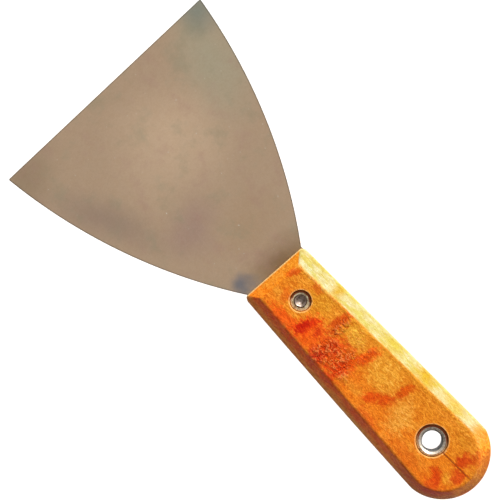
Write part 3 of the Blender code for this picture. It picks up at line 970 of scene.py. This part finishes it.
def make_scale(name, node, upward, seed, material):
    """Build one scale with its recesses, and the upper one with its crack."""
    piece = mesh_object(name, scale_mesh(upward, seed))
    piece.data.materials.append(material)
    carve(piece, recess_cutter(RIVET_SEAT, upward))
    carve(piece, recess_cutter(EYELET_SEAT, upward))
    if upward > 0:
        carve(piece, crack_cutter())
    return finish_piece(piece, node, 42)


# =============================================================== blade

def blade_half_width(y):
    """Return the blade's half width at a given y, from the arc of its sides."""
    edge_rise = math.sqrt(SIDE_RADIUS ** 2 - ARC_CENTRE_BEYOND_EDGE ** 2)
    below_centre = EDGE_Y + ARC_CENTRE_BEYOND_EDGE - y
    return EDGE_WIDTH / 2 - edge_rise + math.sqrt(SIDE_RADIUS ** 2 - below_centre ** 2)


def blade_rows():
    """Return (y, left, right, half thickness) rows from the working edge to the handle's end."""
    rows = []
    for inset in EDGE_INSETS:
        y = EDGE_Y - inset
        corner = math.sqrt(max(EDGE_CORNER ** 2 - (EDGE_CORNER - inset) ** 2, 0.0)) - EDGE_CORNER
        half = blade_half_width(EDGE_Y - EDGE_CORNER) + corner
        rows.append((y, -half, half, EDGE_HALF))
    start = EDGE_Y - EDGE_CORNER
    for step in range(1, BLADE_ROWS + 1):
        share = step / BLADE_ROWS
        y = start + (HEEL_Y - start) * share
        half = blade_half_width(y)
        rows.append((y, -half, half, EDGE_HALF + (TANG_HALF - EDGE_HALF) * share))
    centre_y = FULL_OUTLINE.end_centre[1]
    radius = FULL_OUTLINE.end_radius - TANG_INSET
    stations = [TANG_START_Y + (centre_y - TANG_START_Y) * step / TANG_ROWS
                for step in range(TANG_ROWS)]
    stations += [centre_y - radius * math.sin(math.pi / 2 * step / TANG_END_ROWS)
                 for step in range(TANG_END_ROWS)]
    for y in stations:
        rows.append((y, side_x(FULL_OUTLINE, FULL_OUTLINE.left, y, TANG_INSET),
                     side_x(FULL_OUTLINE, FULL_OUTLINE.right, y, TANG_INSET), TANG_HALF))
    return rows


def make_blade(material):
    """Build the blade and its tang as one thin plate with a softened rim."""
    plate = bmesh.new()
    wear_and_rim_shade = plate.verts.layers.float.new("wear_and_rim_shade")
    rows = []
    for y, left, right, half in blade_rows():
        run = right - left - 2 * RIM_INSETS[-1]
        places = [left + inset for inset in RIM_INSETS]
        places += [places[-1] + run * step / BLADE_COLUMNS for step in range(1, BLADE_COLUMNS)]
        places += [right - inset for inset in reversed(RIM_INSETS)]
        from_edge = EDGE_Y - y
        top = []
        bottom = []
        for x in places:
            rim = min(x - left, right - x)
            round_share = min(rim / RIM_ROUND, 1.0)
            lift = half * (0.35 + 0.65 * math.sqrt(1 - (1 - round_share) ** 2))
            wave = 0.012 * noise_at(x * 0.05, y * 0.04, 2.0)
            upper = plate.verts.new(Vector((x, y, MID_Z + lift + wave)) * MM)
            lower = plate.verts.new(Vector((x, y, MID_Z - lift + wave)) * MM)
            # Painted shade along the blade's rim, fading out 0.5 mm in.
            dark = max(0.0, 1.0 - min(rim, from_edge) / 0.5) if y > HEEL_Y else 0.0
            upper[wear_and_rim_shade] = dark
            lower[wear_and_rim_shade] = dark
            top.append(upper)
            bottom.append(lower)
        rows.append(top + bottom[::-1])
    join_rings(plate, rows)
    for end in (rows[0], rows[-1]):
        half_count = len(end) // 2
        for i in range(half_count - 1):
            plate.faces.new((end[i], end[i + 1], end[-2 - i], end[-1 - i]))
    piece = mesh_object("blade_plate", plate)
    piece.data.materials.append(material)
    for seat in (RIVET_SEAT, EYELET_SEAT):
        radius = seat.shank / 2 + FIT_GAP
        carve(piece, lathe([(0.0, MID_Z - 1), (radius, MID_Z - 1), (radius, MID_Z + 1),
                            (0.0, MID_Z + 1)], seat.at, False))
    return finish_piece(piece, "blade", 50)


# =============================================================== rivet, eyelet, washers

def roughen(mesh, at, amount, seed, lobes=0):
    """Move a turned piece's points a little, as pressing and wear leave them."""
    for vert in mesh.verts:
        out = Vector((vert.co.x / MM - at.x, vert.co.y / MM - at.y, 0.0))
        if out.length < 0.05:
            continue
        angle = math.atan2(out.y, out.x)
        place = Vector((math.cos(angle) * 1.3, math.sin(angle) * 1.3, seed + vert.co.z / MM * 0.3))
        shift = noise.noise(place) + 0.5 * noise.noise(place * 3.1)
        shift += 0.5 * math.cos(lobes * angle + seed) if lobes else 0.0
        vert.co += out.normalized() * (shift * amount * MM)


def make_fastener(name, node, mesh, material):
    """Turn a finished lathe mesh into a piece of the object."""
    piece = mesh_object(name, mesh)
    piece.data.materials.append(material)
    return finish_piece(piece, node, 40)


def rivet_profile():
    """Return the semi-tubular rivet: low domed head below, rolled hollow tail above."""
    shank = RIVET_SEAT.shank / 2
    head_top = RIVET_SEAT.depth - FIT_GAP
    head_low = head_top - 1.35
    tail_low = THICKNESS - RIVET_SEAT.depth + WASHER_THICKNESS + 2 * FIT_GAP
    tail_top = THICKNESS - TAIL_DEPTH
    dome = [(0.0, head_low)]
    dome += [(3.8 * math.sin(math.radians(a)), head_low + 0.85 * (1 - math.cos(math.radians(a))))
             for a in range(12, 91, 6)]
    dome += [(3.8, head_top - 0.1), (3.7, head_top), (shank, head_top), (shank, tail_low)]
    roll = [(2.45, tail_low), (2.6, tail_low + 0.15), (2.62, tail_low + 0.5),
            (2.5, tail_top - 0.12), (2.42, tail_top - 0.03), (2.3, tail_top)]
    dish = [(2.12, tail_top - 0.04), (1.98, tail_top - 0.14), (1.8, tail_top - 0.32),
            (1.6, tail_top - 0.52), (1.35, tail_top - 0.72), (1.0, tail_top - 0.95),
            (0.7, tail_top - 1.08), (0.4, tail_top - 1.15), (0.0, tail_top - 1.18)]
    return dome + roll + dish


def make_rivet(material):
    """Build the front rivet."""
    mesh = lathe(rivet_profile(), RIVET_AT, False)
    roughen(mesh, RIVET_AT, 0.07, 4.0, lobes=5)
    return make_fastener("rivet_body", "front_rivet", mesh, material)


def eyelet_profile():
    """Return the eyelet: a flange below, an open barrel and a funnel rim rolled over above."""
    bore = 3.85
    barrel = EYELET_SEAT.shank / 2
    flange_top = EYELET_SEAT.depth - FIT_GAP
    flange_low = flange_top - 0.75
    rim_low = THICKNESS - EYELET_SEAT.depth + WASHER_THICKNESS + 2 * FIT_GAP
    rim_top = THICKNESS - TAIL_DEPTH
    foot = [(bore, flange_low + 0.6)]
    foot += [(bore + 0.6 * (1 - math.cos(math.radians(a))),
              flange_low + 0.6 * (1 - math.sin(math.radians(a)))) for a in range(15, 91, 15)]
    foot += [(5.5, flange_low), (5.75, flange_low + 0.15), (5.8, flange_low + 0.35),
             (5.8, flange_top - 0.08), (5.72, flange_top), (barrel, flange_top)]
    lip = [(barrel, rim_low), (4.95, rim_low)]
    lip += arc((5.05, rim_low + 0.36), 0.36, -70, 60, 7)
    funnel = [(5.16, rim_top - 0.02), (5.02, rim_top - 0.07), (4.85, rim_top - 0.17),
              (4.6, rim_top - 0.34), (4.38, rim_top - 0.5), (4.2, rim_top - 0.66),
              (4.08, rim_top - 0.9), (3.95, rim_top - 1.4), (bore, rim_top - 2.1)]
    return foot + lip + funnel


def make_eyelet(material):
    """Build the rear eyelet."""
    mesh = lathe(eyelet_profile(), EYELET_AT, True)
    roughen(mesh, EYELET_AT, 0.06, 9.0)
    return make_fastener("eyelet_body", "rear_eyelet", mesh, material)


def make_washer(name, node, seat, material):
    """Build one stamped washer that lies on the floor of the upper scale's recess."""
    low = THICKNESS - seat.depth + FIT_GAP
    high = low + WASHER_THICKNESS
    inside = seat.shank / 2 + FIT_GAP
    outside = seat.washer / 2
    soft = 0.12
    profile = [(inside, low), (outside - soft / 2, low), (outside, low + soft / 2),
               (outside, high - soft), (outside - soft * 0.4, high - soft * 0.3),
               (outside - soft, high), (inside + soft, high), (inside, high - soft)]
    mesh = lathe(profile, seat.at, True)
    roughen(mesh, seat.at, 0.03, 12.0)
    return make_fastener(name, node, mesh, material)


# =============================================================== studio

ROLL = 46.75                        # degrees that the knife is turned in the picture
CAMERA_DISTANCE = 1.5               # metres above the blade
CAMERA_TILT = 1.0                   # degrees that the camera leans towards +X
CAMERA_AIM = Vector((-1.49, 20.87)) * MM
LENS = 283.0
FLOOR_RADIUS = 9.0                  # metres


def make_camera():
    """Look straight down on the knife, which lies diagonally in the picture."""
    roll = math.radians(ROLL)
    tilt = math.radians(CAMERA_TILT)
    aim = Vector((CAMERA_AIM.x, CAMERA_AIM.y, MID_Z * MM))
    back = Vector((math.sin(tilt), 0.0, math.cos(tilt)))
    right = Vector((math.sin(roll), -math.cos(roll), 0.0))
    right = (right - back * right.dot(back)).normalized()
    up = back.cross(right)
    data = bpy.data.cameras.new("camera")
    data.lens = LENS
    data.sensor_width = 36.0
    data.clip_start = 0.01
    data.clip_end = 50.0
    camera = add_object("camera", data)
    place = aim + back * CAMERA_DISTANCE
    camera.matrix_world = Matrix((
        (right.x, up.x, back.x, place.x), (right.y, up.y, back.y, place.y),
        (right.z, up.z, back.z, place.z), (0.0, 0.0, 0.0, 1.0)))
    bpy.context.scene.camera = camera


def make_floor():
    """A wide flat floor that fills every view."""
    mesh = bmesh.new()
    bmesh.ops.create_circle(mesh, cap_ends=True, segments=96, radius=FLOOR_RADIUS)
    floor = mesh_object("floor", mesh)
    floor.data.materials.append(floor_paint())
    return floor


def area_light(name, azimuth, elevation, distance, size, power, colour):
    """Add a square softbox that faces the knife. Azimuth 0 is +X and 90 is +Y."""
    data = bpy.data.lights.new(name, "AREA")
    data.shape = "SQUARE"
    data.size = size
    data.energy = power
    data.color = colour
    light = add_object(name, data)
    turn = math.radians(azimuth)
    rise = math.radians(elevation)
    away = Vector((math.cos(turn) * math.cos(rise), math.sin(turn) * math.cos(rise), math.sin(rise)))
    light.location = away * distance
    light.rotation_mode = "QUATERNION"
    light.rotation_quaternion = away.to_track_quat("Z", "Y")
    return light


def light_only(light, objects, name):
    """Let a light shine on some objects only."""
    group = bpy.data.collections.new(name)
    for item in objects:
        group.objects.link(item)
    light.light_linking.receiver_collection = group


def make_world():
    """Soft studio surroundings: pale near the horizon, dim above, a softbox overhead."""
    world = bpy.data.worlds.new("studio")
    bpy.context.scene.world = world
    world.use_nodes = True
    tree = world.node_tree
    background = tree.nodes["Background"]
    direction = tree.nodes.new("ShaderNodeTexCoord").outputs["Generated"]
    height = tree.nodes.new("ShaderNodeSeparateXYZ")
    tree.links.new(direction, height.inputs[0])
    ramp = tree.nodes.new("ShaderNodeValToRGB")
    tree.links.new(height.outputs["Z"], ramp.inputs[0])
    levels = ((0.0, 0.34), (0.12, 0.26), (0.35, 0.18), (0.86, 0.16), (0.94, 0.85), (1.0, 1.03))
    elements = ramp.color_ramp.elements
    while len(elements) < len(levels):
        elements.new(0.5)
    for element, (place, level) in zip(elements, levels):
        element.position = place
        element.color = (level, level, level, 1.0)
    tree.links.new(ramp.outputs[0], background.inputs["Color"])
    background.inputs["Strength"].default_value = 1.0


def make_lights(pieces, metal, floor):
    """A low key from the knife's right, its glints in the metal, and the floor's own light.

    The key itself leaves no mirror image, which would wash out the blade and the wood when
    they are seen from the left. The glint light gives one to the fasteners only.
    """
    place = {"azimuth": KEY_AZIMUTH, "elevation": 21, "distance": 1.6, "colour": (1.0, 0.98, 0.94)}
    key = area_light("key", size=1.1, power=58.0, **place)
    key.visible_glossy = False
    light_only(key, pieces, "knife_pieces")
    glint = area_light("glint", size=0.7, power=55.0, **place)
    glint.visible_diffuse = False
    light_only(glint, metal, "fasteners")
    data = bpy.data.lights.new("floor_light", "SUN")
    data.energy = 3.35
    data.angle = math.radians(40)
    sun = add_object("floor_light", data)
    light_only(sun, [floor], "floor_only")
    sun.light_linking.blocker_collection = bpy.data.collections["floor_only"]


# =============================================================== build

upper_wood = wood("upper_wood", UPPER_FIGURE, GOLDEN_AREAS, upper=True)
lower_wood = wood("lower_wood", LOWER_FIGURE, LOWER_GOLD, upper=False)
# Painted shade rings: the gap round the rivet's tail, the eyelet's throat, and the shaded side of
# each recess.
rivet_metal = fastener_metal("rivet_metal", (186, 168, 158), (122, 104, 88), 0.56, RIVET_AT,
                             (ShadeRing(2.25, 2.85, False, (64, 42, 22), 0.95),))
eyelet_metal = fastener_metal("eyelet_metal", (232, 222, 206), (176, 160, 144), 0.56, EYELET_AT,
                              (ShadeRing(3.6, 4.2, False, (74, 80, 84), 0.85),
                               ShadeRing(5.3, 5.7, True, (168, 80, 16), 0.85)))
rivet_washer_metal = fastener_metal("rivet_washer_metal", (246, 232, 196), (200, 172, 126), 0.5,
                                    RIVET_AT, (ShadeRing(3.25, 4.2, True, (172, 80, 14), 0.95),))
eyelet_washer_metal = fastener_metal("eyelet_washer_metal", (246, 232, 196), (186, 160, 116),
                                     0.5, EYELET_AT, (ShadeRing(5.3, 6.4, True, (172, 80, 14), 0.95),))

plates = [
    make_blade(blade_steel()),
    make_scale("scale_upper", "upper_scale", 1, 1.5, upper_wood),
    make_scale("scale_lower", "lower_scale", -1, 8.5, lower_wood),
]
fasteners = [
    make_rivet(rivet_metal),
    make_washer("rivet_washer", "front_rivet_washer", RIVET_SEAT, rivet_washer_metal),
    make_eyelet(eyelet_metal),
    make_washer("eyelet_washer", "rear_eyelet_washer", EYELET_SEAT, eyelet_washer_metal),
]

make_camera()
make_world()
make_lights(plates + fasteners, fasteners, make_floor())
bpy.context.scene.view_settings.view_transform = "Standard"
